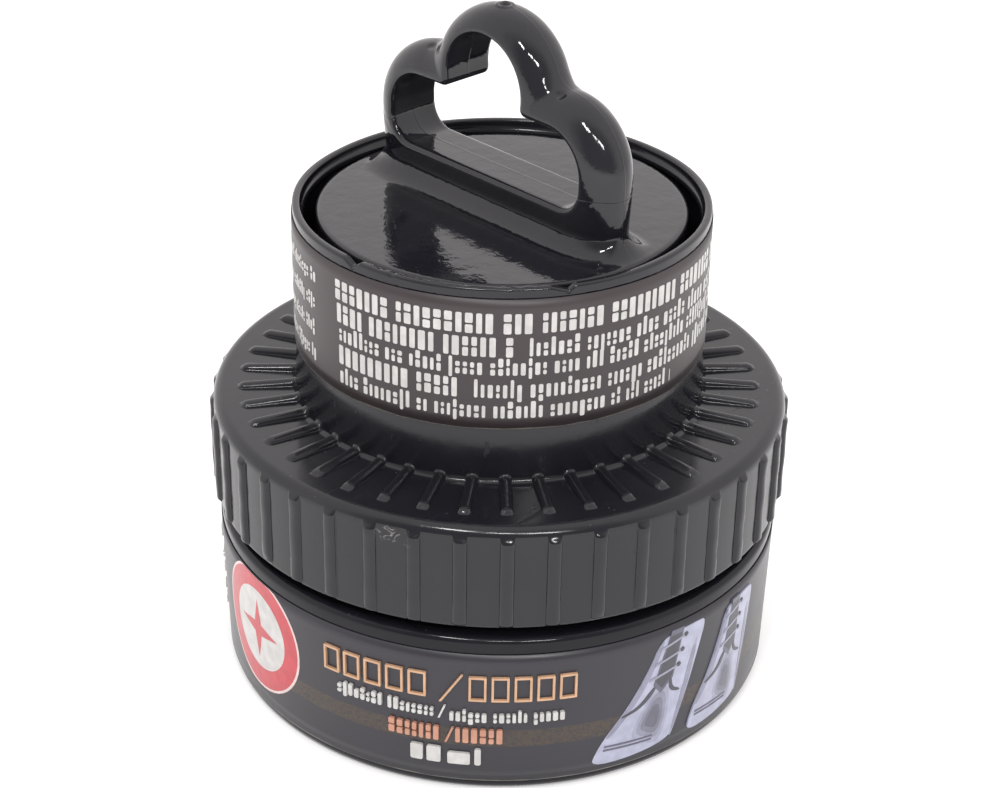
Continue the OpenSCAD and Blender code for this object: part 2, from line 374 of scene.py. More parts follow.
# ---------------------------------------------------------------- cap
def cup_profile():
    """Section of the cup, from the middle of its floor, up its bore with the bead and over the rim."""
    line = [(0, CAP_TOP_Z), (CUP_BORE_R - 0.8, CAP_TOP_Z)]
    line += arc(CUP_BORE_R - 0.8, CAP_TOP_Z + 0.8, 0.8, -90, 0, 5)
    line += [(CUP_BORE_R, BEAD_Z - 2 * BEAD_IN)]
    for t in np.linspace(0.3, math.pi - 0.3, 7):
        line.append((CUP_BORE_R - BEAD_IN * math.sin(t) ** 2, BEAD_Z - BEAD_IN * math.cos(t) * 1.8))
    line += [(CUP_BORE_R, RIM_Z - 0.45)]
    line += arc(CUP_BORE_R + 0.3, RIM_Z - 0.3, 0.3, 180, 90, 4)
    line += arc(CUP_R - 0.3, RIM_Z - 0.3, 0.3, 90, 0, 5)
    return line


def outer_profile():
    """Carries on down the cup's wall, over the cap's top, skirt and bore to the middle of the plate."""
    line = [(CUP_R, RIM_Z - 1.2), (CUP_R, CUP_LABEL_Z[1]), (CUP_R, CUP_LABEL_Z[0]), (CUP_R, CUP_TAPER_Z + 0.3)]
    line += [(CUP_R + 0.04, CUP_TAPER_Z - 0.4), (CUP_FOOT_R - 0.12, CAP_TOP_Z + 1.4)]
    line += arc(CUP_FOOT_R + 0.5, CAP_TOP_Z + 0.6, 0.6, 180, 270, 7)
    line += [(TOP_RIB_END_R - 0.9, CAP_TOP_Z), (TOP_RIB_END_R + 0.4, CAP_TOP_Z)]
    line += arc(CAP_R - CAP_ROUND, CAP_TOP_Z - CAP_ROUND, CAP_ROUND, 90, 0, 11)
    line += [(CAP_R, 30.7), (CAP_R, SKIRT_Z + 0.7)]
    line += arc(CAP_R - 0.25, SKIRT_Z + 0.25, 0.25, 0, -90, 4)
    line += arc(BORE_R + 0.2, SKIRT_Z + 0.2, 0.2, 270, 180, 4)
    line += [(BORE_R, PLATE_UNDER_Z - 0.6)]
    line += arc(BORE_R - 0.6, PLATE_UNDER_Z - 0.6, 0.6, 0, 90, 4)
    line += [(0, PLATE_UNDER_Z)]
    return line


def cap_steps(profile):
    """Finer steps where the ribs start and end."""
    out = [profile[0]]
    for p, q in zip(profile, profile[1:]):
        middle_r, middle_z = (p[0] + q[0]) / 2, (p[1] + q[1]) / 2
        outside = middle_r > CUP_FOOT_R - 0.6 and middle_z > SKIRT_Z + 0.1
        near_end = outside and (middle_z > 30.3 or middle_z < SKIRT_Z + 1.2)
        at_top_end = TOP_RIB_END_R - 1.4 < middle_r < TOP_RIB_END_R + 0.3
        step = 0.16 if near_end and at_top_end else 0.2 if near_end else 0.9 if outside else 1.6
        out += densify([p, q], step).tolist()[1:]
    return np.array(out)


# where a rib's section is sampled, in half widths from its middle
RIB_SAMPLES = (-1.08, -1.0, -0.965, -0.87, -0.68, -0.42, -0.15, 0.15, 0.42, 0.68, 0.87, 0.965, 1.0, 1.08)
BETWEEN_SAMPLES = 6


def cap_shape(a, r, z):
    """Moves a plain turned cap's points to make its ribs and the worn rim."""
    side = (r > CAP_R - 1.5) & (z < 31.6)
    width = np.where(side, SIDE_RIB_W, TOP_RIB_W)
    period = 2 * math.pi / RIB_COUNT
    rng = np.random.default_rng(7)
    wear = rng.normal(0, 1, (RIB_COUNT, 4))
    offsets = np.zeros_like(r)
    for w in (SIDE_RIB_W, TOP_RIB_W):
        chosen = (width[:, 0] == w)
        near = np.array(RIB_SAMPLES)[None, :] * w / 2 / r[chosen, :1]
        start, stop = near[:, -1:], period + near[:, :1]
        between = start + (stop - start) * (np.arange(1, BETWEEN_SAMPLES + 1)[None, :] / (BETWEEN_SAMPLES + 1))
        one = np.concatenate([near, between], 1)
        offsets[chosen] = np.concatenate([one + k * period for k in range(RIB_COUNT)], 1)
    phase = math.radians(RIB_PHASE)
    a = offsets + phase
    rib = np.floor((a - phase) / period + 0.5).astype(int)
    from_rib = (a - phase - rib * period) * r  # from the middle of the nearest rib
    worn = wear[rib % RIB_COUNT]
    # the outer end of a top rib is rounded down and a little narrower
    past = np.clip((r - TOP_RIB_END_R - 0.06 * worn[..., 2]) / TOP_RIB_SLOPE + 1, 0, 1)
    end = np.sqrt(1 - past**2)
    width = np.where(side, width, width * (0.75 + 0.25 * end))
    rise = np.sqrt(np.clip(1 - np.abs(2 * from_rib / width) ** 2.6, 0, 1))
    # upright ribs
    ripple = 0.03 * np.sin(z * (1.7 + 0.3 * worn[..., 0]) + 3 * worn[..., 1])
    low_end = smooth01((z - SKIRT_Z - 0.1 - 0.12 * np.abs(worn[..., 2])) / 0.35)
    high_end = np.clip((31.3 + 0.05 * worn[..., 3] - z) / 0.5, 0, 1)
    on_skirt = (r > CAP_R - 0.8) & (z > SKIRT_Z) & (z < 31.9)
    out = np.where(on_skirt, rise * low_end * high_end * (SIDE_RIB_OUT - 0.03 + ripple), 0)
    # ribs across the top
    on_top = (r > CUP_R - 0.3) & (z > 31.5) & (z < CAP_TOP_Z + 2.2) & (r < CAP_R - 0.8)
    into_cup = np.clip(1 - (z - CAP_TOP_Z) / 1.2, 0, 1)
    height = TOP_RIB_H + (TOP_RIB_END_H - TOP_RIB_H) * (r - CUP_FOOT_R) / (TOP_RIB_END_R - TOP_RIB_SLOPE - CUP_FOOT_R)
    height = np.minimum(height, TOP_RIB_H) - 0.02 * np.abs(worn[..., 3])
    lift = np.where(on_top, rise * end * into_cup * height, 0)
    r, z = r + out, z + lift
    return rim_wear(a, r, z)


# wear of the cap, placed by turns from the front in degrees
# where each nick in the rim starts, is deepest and stops, then its depth
NICKS = ((-45.0, -41.8, -39.2, 0.62), (12.8, 17.6, 19.4, 0.55), (1.4, 2.0, 2.9, 0.14), (-29.8, -29.0, -28.2, 0.12))
BURR = (-40.0, 15.0)  # from where to where the rim's inner edge is rough and painted pale as a highlight
SCUFF_TURN = -19.0
SCUFF_HALF = (2.4, 0.6)  # across from the middle: where the scuffs start, and from where they are whole
SCUFF_LOW_Z = (29.2, 30.2)  # the scuffs fade in upwards between these heights
SCUFF_HIGH_Z = (31.5, 31.2)  # and in downwards between these


def rim_wear(a, r, z):
    """Nicks in the cup's rim, and the rough burr that runs between the two deep ones."""
    turn = (np.degrees(a) - FRONT + 180) % 360 - 180
    near_rim = smooth01((z - (RIM_Z - 1.0)) / 0.7)
    inside = smooth01((CUP_R - 0.15 - r) / 0.3)
    drop = 0
    for start, deepest, stop, deep in NICKS:
        drop = drop + np.interp(turn, (start, deepest, stop), (0, deep, 0), 0, 0)
    between = smooth01((turn - BURR[0]) / 2) * smooth01((BURR[1] - turn) / 2)
    rough = 0.05 * waves(turn, 0 * turn, 3, 1.3) + 0.03 * waves(turn, 0 * turn, 4, 3.1)
    z = z - near_rim * drop + near_rim * inside * between * rough
    r = r - near_rim * inside * between * np.abs(rough) * 1.6
    uneven = 0.05 * np.sin(3 * a + 0.8) + 0.03 * np.sin(7 * a)
    return a, r, z + near_rim * (uneven - 0.08) * (z > RIM_Z - 1)


def cap_scuffs_and_burr_highlight(n):
    """A painted highlight, as a pale colour on the rough burr along the front of the rim's inner edge, and scuffs
    high on the skirt.
    """
    middle, half = (BURR[0] + BURR[1]) / 2, (BURR[1] - BURR[0]) / 2
    # the burr's pale colour is a painted highlight along the rim's inner edge; the rough burr itself is shaped in
    # rim_wear
    reach = CUP_BORE_R * math.cos(math.radians(half)) * MM
    front = n.range(n.turned(FRONT + middle), reach, reach + 0.4 * MM)
    edge = n.range(n.from_axis(), (CUP_BORE_R + 0.24) * MM, (CUP_BORE_R + 0.1) * MM)
    high = n.range(n.axis(2), (RIM_Z - 0.3) * MM, (RIM_Z - 0.2) * MM)
    broken = n.range(n.noise(1500, 3), 0.4, 0.5)
    burr_highlight = n.product(front, edge, high, broken)
    # scuffs between two ribs just under the cap's edge, on the front side of the cap only
    scratched = n.range(n.noise(900, 4, 0.75, distortion=1.0), 0.55, 0.62, 0, 0.4)
    off_middle = n.math("ABSOLUTE", n.turned(FRONT + 90 + SCUFF_TURN))
    across = n.range(off_middle, *(d * MM for d in SCUFF_HALF))
    facing = n.range(n.turned(FRONT), 20 * MM, 21 * MM)
    from_below = n.range(n.axis(2), *(z * MM for z in SCUFF_LOW_Z))
    from_above = n.range(n.axis(2), *(z * MM for z in SCUFF_HIGH_Z))
    outer = n.range(n.from_axis(), (CAP_R - 0.4) * MM, (CAP_R - 0.2) * MM)
    scuff = n.product(scratched, across, facing, from_below, from_above, outer)
    return n.math("MAXIMUM", burr_highlight, scuff)


def screw_cap():
    profile = cap_steps(cup_profile() + outer_profile())
    turned = revolve(profile, around=RIB_COUNT * (len(RIB_SAMPLES) + BETWEEN_SAMPLES), shape=cap_shape)
    points, faces = join_meshes(turned, helix(**CAP_THREAD))
    plastic = moulded_plastic("cap_plastic", rough=0.14, dust=0.8, specular=0.45, marks_and_highlight=cap_scuffs_and_burr_highlight)
    mesh_piece("cap_shell", points, faces, plastic, "cap", "cap_plastic", ["screw_cap"])


# ---------------------------------------------------------------- jar
def wall_r(z):
    """Radius of the jar's tapering wall."""
    return JAR_FOOT_R + (JAR_TOP_R - JAR_FOOT_R) * (z - JAR_FOOT_ROUND) / (SHOULDER_Z - JAR_FOOT_ROUND)


def jar_profile():
    """Section of the jar, from the middle of its push-up base, outside and over the neck to its floor."""
    line = [(0, PUSH_UP), (PUSH_UP_R - 0.4, PUSH_UP)]
    line += arc(PUSH_UP_R - 0.4, PUSH_UP - 0.4, 0.4, 90, 0, 4)[:-1]
    line += arc(PUSH_UP_R + 0.4, 0.35, 0.35, 180, 270, 4)
    line += arc(JAR_FOOT_R - JAR_FOOT_ROUND, JAR_FOOT_ROUND, JAR_FOOT_ROUND, -90, 0, 9)
    line += [(wall_r(JAR_LABEL_Z[0]), JAR_LABEL_Z[0]), (wall_r(JAR_LABEL_Z[1]), JAR_LABEL_Z[1])]
    line += arc(wall_r(SHOULDER_Z - 0.8) - 0.8, SHOULDER_Z - 0.8, 0.8, 0, 90, 8)
    line += [(NECK_R + 0.5, SHOULDER_Z)]
    line += arc(NECK_R + 0.4, SHOULDER_Z + 0.4, 0.4, 270, 180, 4)
    line += arc(NECK_R - 0.3, NECK_TOP_Z - 0.3, 0.3, 0, 90, 5)
    line += arc(NECK_BORE_R + 0.3, NECK_TOP_Z - 0.3, 0.3, 90, 180, 5)
    line += [(NECK_BORE_R, SHOULDER_Z - 0.3), (JAR_INNER_R, SHOULDER_Z - 1.3), (JAR_INNER_R, JAR_FLOOR_Z + 2)]
    line += [(JAR_INNER_R - 0.6, JAR_FLOOR_Z + 0.6), (JAR_INNER_R - 2, JAR_FLOOR_Z), (0, JAR_FLOOR_Z)]
    return line


def jar_body():
    turned = revolve(densify(jar_profile(), 1.2))
    points, faces = join_meshes(turned, helix(**NECK_THREAD))
    plastic = moulded_plastic("jar_plastic", rough=0.08, specular=0.22)
    mesh_piece("jar_shell", points, faces, plastic, "jar", "jar_plastic", ["jar_body"])


# ---------------------------------------------------------------- handle
# heights and places in the handle's outline are measured from the middle of the disc's top
HANDLE_HALF = 3.2  # half of the handle's thickness
SIDE_LOBE_X, SIDE_LOBE_Z, SIDE_LOBE_R = 9.3, 7.4, 7.8
CROWN_Z, CROWN_R = 13.2, 8.3
VALLEY_R = 1.6
SLOT_HALF, SLOT_LOW, SLOT_HIGH = 13.6, 4.2, 12.0
SLOT_LOW_R, SLOT_HIGH_R = 2.6, 4.3
FINGER_Z, FINGER_R = 13.6, 5.3
FILLET_R = 2.3  # between the handle and the disc
DISC_EDGE_R = 0.4
GATE_R, GATE_WIRE_R = 0.8, 0.17  # the raised ring on the crown


def length2(x, y):
    """Length of a level vector."""
    return np.sqrt(x * x + y * y)


def round_union(a, b, r):
    """Union of two distance fields with a hollow rounding of radius r between them."""
    u, v = np.maximum(r - a, 0), np.maximum(r - b, 0)
    return np.maximum(r, np.minimum(a, b)) - length2(u, v)


def round_cut(a, b, r):
    """Intersection of two distance fields with a rounding of radius r on the edge."""
    u, v = np.maximum(r + a, 0), np.maximum(r + b, 0)
    return np.minimum(-r, np.maximum(a, b)) + length2(u, v)


def rounded_slot(x, z, half, low, high, low_r, high_r):
    """Distance to a slot with its own rounding at the bottom and at the top."""
    middle = (low + high) / 2
    r = np.where(z > middle, high_r, low_r)
    qx, qz = np.abs(x) - half + r, np.abs(z - middle) - (high - low) / 2 + r
    return np.minimum(np.maximum(qx, qz), 0) + length2(np.maximum(qx, 0), np.maximum(qz, 0)) - r


def handle_outside(x, z):
    """Distance to the handle's three-lobed outline, heights above the disc."""
    side = length2(np.abs(x) - SIDE_LOBE_X, z - SIDE_LOBE_Z) - SIDE_LOBE_R
    legs = np.maximum(np.abs(x) - (SIDE_LOBE_X + SIDE_LOBE_R), z - SIDE_LOBE_Z)
    lobes = round_union(side, length2(x, z - CROWN_Z) - CROWN_R, VALLEY_R)
    return np.minimum(lobes, legs)


def handle_hole(x, z):
    """Distance to the finger hole: a slot with a round space above its middle."""
    slot = rounded_slot(x, z, SLOT_HALF, SLOT_LOW, SLOT_HIGH, SLOT_LOW_R, SLOT_HIGH_R)
    return round_union(slot, length2(x, z - FINGER_Z) - FINGER_R, 1.0)


def handle_field(p):
    """Distance field of the handle and disc, origin at the middle of the disc's top."""
    x, y, z = p[..., 0], p[..., 1], p[..., 2]
    outside, hole = handle_outside(x, z), handle_hole(x, z)
    inner = np.maximum(hole, 0)
    share = np.where(outside < 0, inner / np.maximum(inner - outside, 0.05), 1 + outside / 3.0)
    bow = (np.sqrt(share**2 + (y / HANDLE_HALF) ** 2) - 1) * HANDLE_HALF
    handle = round_cut(bow, -hole, 0.6)
    handle = np.maximum(handle, -1.2 - z)
    qr, qz = length2(x, y) - DISC_R + DISC_EDGE_R, np.abs(z + DISC_T / 2) - DISC_T / 2 + DISC_EDGE_R
    disc = np.minimum(np.maximum(qr, qz), 0) + length2(np.maximum(qr, 0), np.maximum(qz, 0)) - DISC_EDGE_R
    whole = round_union(handle, disc, FILLET_R)
    # gate mark on the crown: a raised ring round a small pit
    from_gate = length2(x, y)
    whole = np.minimum(whole, length2(from_gate - GATE_R, z - 21.42) - GATE_WIRE_R)
    whole = np.maximum(whole, 0.55 - length2(from_gate, z - 21.6))
    # shallow ejector marks in the two valleys
    dent = length2(length2((np.abs(x) - 9.4) / 0.8, (y + 1.7) / 0.9), (z - 15.3) / 0.6) - 1
    return np.maximum(whole, -dent * 0.6)


def surface_net(field, low, high, step):
    """Quads on the zero surface of a distance field, moved onto the surface by Newton steps."""
    axes = [np.arange(a, b + step, step) for a, b in zip(low, high)]
    grid = np.stack(np.meshgrid(*axes, indexing="ij"), -1)
    f = field(grid)
    inside = f < 0
    ends = (slice(None, -1), slice(1, None))
    corner = [inside[i, j, k] for i in ends for j in ends for k in ends]
    count = sum(c.astype(np.int8) for c in corner)
    mixed = (count > 0) & (count < 8)
    index = np.full(mixed.shape, -1)
    index[mixed] = np.arange(mixed.sum())
    points = grid[:-1, :-1, :-1][mixed] + step / 2
    faces = []
    for axis in range(3):
        u, v = (axis + 1) % 3, (axis + 2) % 3
        ahead = np.moveaxis(inside, axis, 0)
        here, there = np.moveaxis(ahead[:-1], 0, axis), np.moveaxis(ahead[1:], 0, axis)
        edges = np.argwhere(here != there)
        edges = edges[(edges[:, u] > 0) & (edges[:, v] > 0)]
        start_inside = here[tuple(edges.T)]
        du, dv = np.eye(3, dtype=int)[u], np.eye(3, dtype=int)[v]
        quad = np.stack([index[tuple((edges - s * du - t * dv).T)] for s, t in ((0, 0), (1, 0), (1, 1), (0, 1))], 1)
        quad[~start_inside] = quad[~start_inside][:, ::-1]
        faces.append(quad)
    for _ in range(4):
        value = field(points)
        slope = np.stack([(field(points + h) - field(points - h)) / 0.04 for h in np.eye(3) * 0.02], -1)
        points = points - 0.9 * (value / np.maximum((slope**2).sum(-1), 0.05))[:, None] * slope
    return points, np.concatenate(faces).tolist()


def handle_seams(n, normal):
    """The mould's parting line round the middle of the handle, and the step on its legs."""
    above = n.range(n.axis(2), (DISC_Z + 0.3) * MM, (DISC_Z + 0.6) * MM)
    middle = n.math("ABSOLUTE", n.axis(1))
    line = n.math("MULTIPLY", n.range(middle, 0.00012, 0.00004), above)
    normal = n.bump(line, 0.000015, normal)
    step_z = n.math("ADD", n.axis(2), n.range(n.noise(400, 2), 0, 1, -0.00012, 0.00012))
    return n.bump(n.range(step_z, (DISC_Z + 6.05) * MM, (DISC_Z + 5.95) * MM), 0.00003, normal)


def applicator_handle():
    low, high = (-19.7, -19.7, -2.6), (19.7, 19.7, 21.9)  # a box round the handle and the disc
    points, faces = surface_net(handle_field, low, high, 0.22)
    points = points + np.array([0, 0, DISC_Z])
    plastic = moulded_plastic("handle_plastic", rough=0.045, wave=0.00005, wave_size=520, seams=handle_seams)
    mesh_piece("handle_and_disc", points, faces, plastic, "applicator", "handle_plastic", ["applicator_handle"])


# ---------------------------------------------------------------- labels
FILM_GAP = 0.01  # the film's inner face stands this far off the wall
INK_T = 0.02  # thickness of the lowest layer of ink
INK_STEP = 0.6  # how much higher each further layer stands, in the same measure
INK_ROOT = 0.03  # how far the ink reaches down into the film
FLAP_U = (-3.5, 1.2)  # the wrap's overlapping end, along the label from the middle of the back
FLAP_T = 0.07


def on_wall(u, z, wall, lift):
    """A point of a wrap label: u along it from the front, lift above the wall."""
    r = wall(z) + lift
    a = math.radians(FRONT) + u / wall(z)
    return r * math.cos(a), r * math.sin(a), z


def patch(outline, wall, low, high, strip=1.1):
    """A thin closed plate with the outline given in (u, z), bent round a wall."""
    flat = bmesh.new()
    flat.faces.new([flat.verts.new((u, z, 0)) for u, z in outline])
    us = [u for u, z in outline]
    for k in range(math.floor(min(us) / strip) + 1, math.ceil(max(us) / strip)):
        everything = flat.verts[:] + flat.edges[:] + flat.faces[:]
        bmesh.ops.bisect_plane(flat, geom=everything, plane_co=(k * strip, 0, 0), plane_no=(1, 0, 0))
    flat.normal_update()
    for face in flat.faces:
        if face.normal.z < 0:
            face.normal_flip()
    flat.verts.index_update()
    count = len(flat.verts)
    points = [on_wall(v.co.x, v.co.y, wall, lift) for lift in (high, low) for v in flat.verts]
    faces = []
    for face in flat.faces:
        loop = [v.index for v in face.verts]
        faces += [loop, [count + i for i in reversed(loop)]]
        for edge_loop in face.loops:
            if edge_loop.edge.is_boundary:
                i, j = edge_loop.vert.index, edge_loop.link_loop_next.vert.index
                faces.append([j, i, count + i, count + j])
    flat.free()
    return points, faces


def block(u0, u1, z0, z1, cut=0.14):
    """Outline of an upright block with its corners taken off."""
    c = min(cut, (u1 - u0) / 3, (z1 - z0) / 3)
    low = [(u0 + c, z0), (u1 - c, z0), (u1, z0 + c), (u1, z1 - c)]
    return low + [(u1 - c, z1), (u0 + c, z1), (u0, z1 - c), (u0, z0 + c)]


def disc(u, z, r, top=None, count=48):
    """Outline of a round spot, cut off level at the top when it would pass it."""
    a = np.linspace(0, 2 * math.pi, count, endpoint=False)
    return [(u + r * math.cos(t), min(z + r * math.sin(t), top or 1e9)) for t in a]


def greeked(u0, u1, z, height, seed, bold=False, capitals=False):
    """A row of plain blocks in the place of words. Some are split across, for the texture of print."""
    rng = np.random.default_rng(seed)
    advance = height * (0.45 if bold else 0.38)
    space = advance * (0.34 if bold else 0.42)
    outlines, u, left = [], u0, int(rng.integers(4, 10))
    while u + advance * 0.6 < u1:
        if left == 0:
            u, left = u + advance * 0.7, int(rng.integers(2, 11))
        wide = advance * rng.uniform(0.85, 1.15)
        tall = 1.0 if capitals or rng.random() < 0.3 else 0.72
        drop = 0.22 if not capitals and rng.random() < 0.1 else 0
        low, high, right = z - drop * height, z + tall * height, min(u + wide - space, u1)
        if rng.random() < 0.4:
            middle = low + (high - low) * rng.uniform(0.4, 0.6)
            outlines += [block(u, right, low, middle - 0.09, 0.1), block(u, right, middle + 0.09, high, 0.1)]
        else:
            outlines.append(block(u, right, low, high, 0.1))
        u, left = u + wide, left - 1
    return outlines


def hollow_blocks(u0, u1, z0, z1, count, line):
    """A row of thin empty frames in the place of large thin letters."""
    outlines, advance = [], (u1 - u0) / count
    for k in range(count):
        a, b = u0 + k * advance, u0 + (k + 0.78) * advance
        outlines += [block(a, a + line, z0, z1, 0.05), block(b - line, b, z0, z1, 0.05)]
        outlines += [block(a + line, b - line, z, z + line, 0.02) for z in (z0, z1 - line)]
    return outlines


def slanted(u, z0, z1, lean, line):
    return [(u, z0), (u + line, z0), (u + lean + line, z1), (u + lean, z1)]


def ink(name, tone):
    """Printed ink under the label's film, a little uneven."""
    n = Nodes(name)
    cloud = n.range(n.noise(700, 3), 0.3, 0.75)
    faded = tuple(c * 0.8 for c in tone)
    return n.set(base=n.mix(cloud, faded, tone), rough=0.38, coat=0.35, coat_rough=0.2)


def printing(prefix, layers, wall, body):
    """One object with all the ink of a label. layers is a list of (ink, outlines), the lowest first."""
    inks = {key: ink(f"{prefix}_ink_{key}", INK_TONES[key]) for key in sorted({key for key, _ in layers})}
    parts, owners = [], []
    for level, (_, outlines) in enumerate(layers):
        top = LABEL_T + INK_T * (1 + level * INK_STEP)
        for outline in outlines:
            points, faces = patch(outline, wall, LABEL_T - INK_ROOT, top)
            parts.append((points, faces))
            owners += [level] * len(faces)
    obj = mesh_piece(f"{prefix}_label_print", *join_meshes(*parts), inks[layers[0][0]], body, f"{prefix}_print")
    for key, _ in layers[1:]:
        obj.data.materials.append(inks[key])
    obj.data.polygons.foreach_set("material_index", owners)
    obj.data.shade_flat()


def label_shell(low, high, wall):
    """A thin wrap, closed all round, with its overlapping end at the back."""
    around, up = 240, np.linspace(low, high, 12)
    inside = [(wall(z) + FILM_GAP, z) for z in up]
    outside = [(wall(z) + LABEL_T, z) for z in up[::-1]]
    ring = inside + outside
    points = ring_points(ring, around)
    last = (len(ring) - 1) * around
    faces = ring_faces(len(ring), around)
    faces += [[last + j, last + (j + 1) % around, (j + 1) % around, j] for j in range(around)]
    faces = [face[::-1] for face in faces]
    half_turn = math.pi * wall((low + high) / 2)
    start, end = (half_turn + u for u in FLAP_U)
    flap = [(start, low + 0.12), (end, low + 0.1), (end, high - 0.14), (start, high - 0.12)]
    return join_meshes((points, faces), patch(flap, wall, LABEL_T - INK_ROOT, LABEL_T + FLAP_T))


def film(name, tone, foot, rough, band=None):
    """Dark laminated paper with a pale foot edge, and an optional woven gold band between two heights."""
    n = Nodes(name)
    cloud = n.range(n.noise(45, 4), 0.3, 0.7)
    base = n.mix(cloud, tone, tuple(c * 1.3 for c in tone))
    if band:
        low, high, gold = band
        z, blur = n.axis(2), 0.12
        above, below = n.range(z, low * MM, (low + blur) * MM), n.range(z, (high + blur) * MM, high * MM)
        weave = n.range(n.noise(2600, 2, 0.6, stretch=(1, 1, 1.6)), 0.38, 0.62, 0.25, 1.0)
        base = n.mix(n.product(above, below, weave), base, gold)
    # the pale cut edge of the paper shows along the foot
    ragged = n.range(n.noise(260, 3), 0.3, 0.7, 0.02 * MM, 0.13 * MM)
    above = n.math("SUBTRACT", n.math("SUBTRACT", n.axis(2), foot * MM), ragged)
    base = n.mix(n.range(above, 0.04 * MM, 0), base, (0.2, 0.19, 0.17))
    fibre = n.bump(n.noise(500, 3), 0.000008, n.bump(n.noise(70, 2), 0.00005))
    return n.set(base=base, rough=n.range(cloud, 0, 1, rough, rough + 0.07), normal=fibre, ior=1.5)


INK_TONES = dict(
    white=(0.6, 0.59, 0.575),
    copper=(0.62, 0.37, 0.22),
    pink=(0.55, 0.26, 0.17),
    red=(0.55, 0.035, 0.05),
    pale=(0.75, 0.6, 0.58),
    # the shoes, from their lit leather to their laces
    light=(0.42, 0.43, 0.56),
    soft=(0.34, 0.35, 0.46),
    mid=(0.25, 0.255, 0.34),
    shade=(0.17, 0.172, 0.23),
    grey=(0.11, 0.11, 0.15),
    dark=(0.045, 0.045, 0.06),
    lace=(0.3, 0.3, 0.38),
)


def badge(u, z, top):
    """A plain red roundel with a four-pointed sparkle on a white disc."""
    a = np.radians(np.arange(0, 360, 22.5))
    reach = [3.7, 1.45, 0.95, 1.45] * 4
    mid_u, mid_z = u + 0.2, z + 0.15
    sparkle = [(mid_u + q * math.cos(t), mid_z + q * math.sin(t)) for q, t in zip(reach, a)]
    rim, field = disc(u, z, 7.5, top), disc(u, z, 7.2, top - 0.02)
    plate = disc(mid_u, mid_z, 4.95, top - 0.3)
    return [("pale", [rim]), ("red", [field]), ("white", [plate]), ("red", [sparkle])]


def shrunk(outline, share):
    """The outline drawn in towards its middle."""
    middle = np.mean(outline, 0)
    return [tuple(middle + (np.array(p) - middle) * share) for p in outline]


def rounded(outline, times=2):
    """The outline with its corners cut off again and again."""
    for _ in range(times):
        points = np.array(outline)
        ahead = np.roll(points, -1, 0)
        outline = np.stack([0.75 * points + 0.25 * ahead, 0.25 * points + 0.75 * ahead], 1).reshape(-1, 2)
    return [tuple(p) for p in outline]


def lace_shoe(place, lean):
    """A plain lace-up shoe seen from above, toe down, as flat shapes. place(u, z) sets it on the label."""
    def at(points):
        return [place(u + lean * z, z) for u, z in points]
    body = [(-0.3, -0.3), (-0.2, 1.2), (0.5, 3.2), (2.2, 6.2), (3.6, 10.2), (4.3, 13.4), (6.0, 13.9)]
    body += [(9.2, 14.0), (10.4, 13.8), (10.2, 10.4), (9.9, 6.0), (9.3, 1.4), (8.6, 0.2), (4.0, -0.3)]
    toe_shade = [(3.9, 2.6), (4.6, 5.4), (5.6, 7.3), (6.9, 6.6), (7.5, 3.2), (7.1, 0.9), (5.2, 1.8)]
    outer_side = [(0.35, 2.8), (2.2, 6.0), (3.5, 9.9), (4.4, 13.4), (4.9, 13.3), (4.2, 9.4), (2.9, 6.0), (1.1, 3.0)]
    inner_side = [(8.9, 1.2), (9.1, 5.6), (9.2, 11.0), (9.8, 11.2), (9.8, 6.0), (9.2, 1.3)]
    seam = [(1.6, 5.3), (3.6, 6.0), (4.8, 7.9), (5.3, 7.7), (4.1, 5.8), (1.9, 5.05)]
    flap = [(6.7, 8.2), (7.2, 6.6), (8.6, 6.1), (8.7, 6.35), (7.5, 6.95), (7.0, 8.4)]
    curved = (body, toe_shade, outer_side, inner_side, seam, flap)
    body, toe_shade, outer_side, inner_side, seam, flap = (rounded(part) for part in curved)
    tongue = [(5.0, 8.4), (5.5, 13.6), (6.9, 13.6), (7.0, 8.6), (6.0, 7.4)]
    caps = [[(0.7, z), (6.4, z - 0.35), (6.4, z - 0.5), (0.65, z - 0.18)] for z in (2.0, 1.55)]
    laces, eyelets = [], []
    for k in range(3):
        left, up = 4.1 + 0.2 * k, 1.75 * k
        laces.append([(left, 8.7 + up), (7.4, 9.4 + up), (7.5, 9.7 + up), (left, 9.0 + up)])
        eyelets.append(disc(7.6, 9.6 + up, 0.26, count=10))
    layers = [
        ("light", [body]),
        ("soft", [shrunk(toe_shade, 1.25), shrunk(inner_side, 1.15)]),
        ("mid", [outer_side, inner_side, toe_shade]),
        ("shade", [shrunk(toe_shade, 0.75)]),
        ("grey", [shrunk(toe_shade, 0.5), shrunk(tongue, 1.2)]),
        ("dark", [tongue, seam, flap]),
        ("grey", caps),
        ("lace", laces),
        ("dark", eyelets),
    ]
    return [(key, [at(outline) for outline in outlines]) for key, outlines in layers]


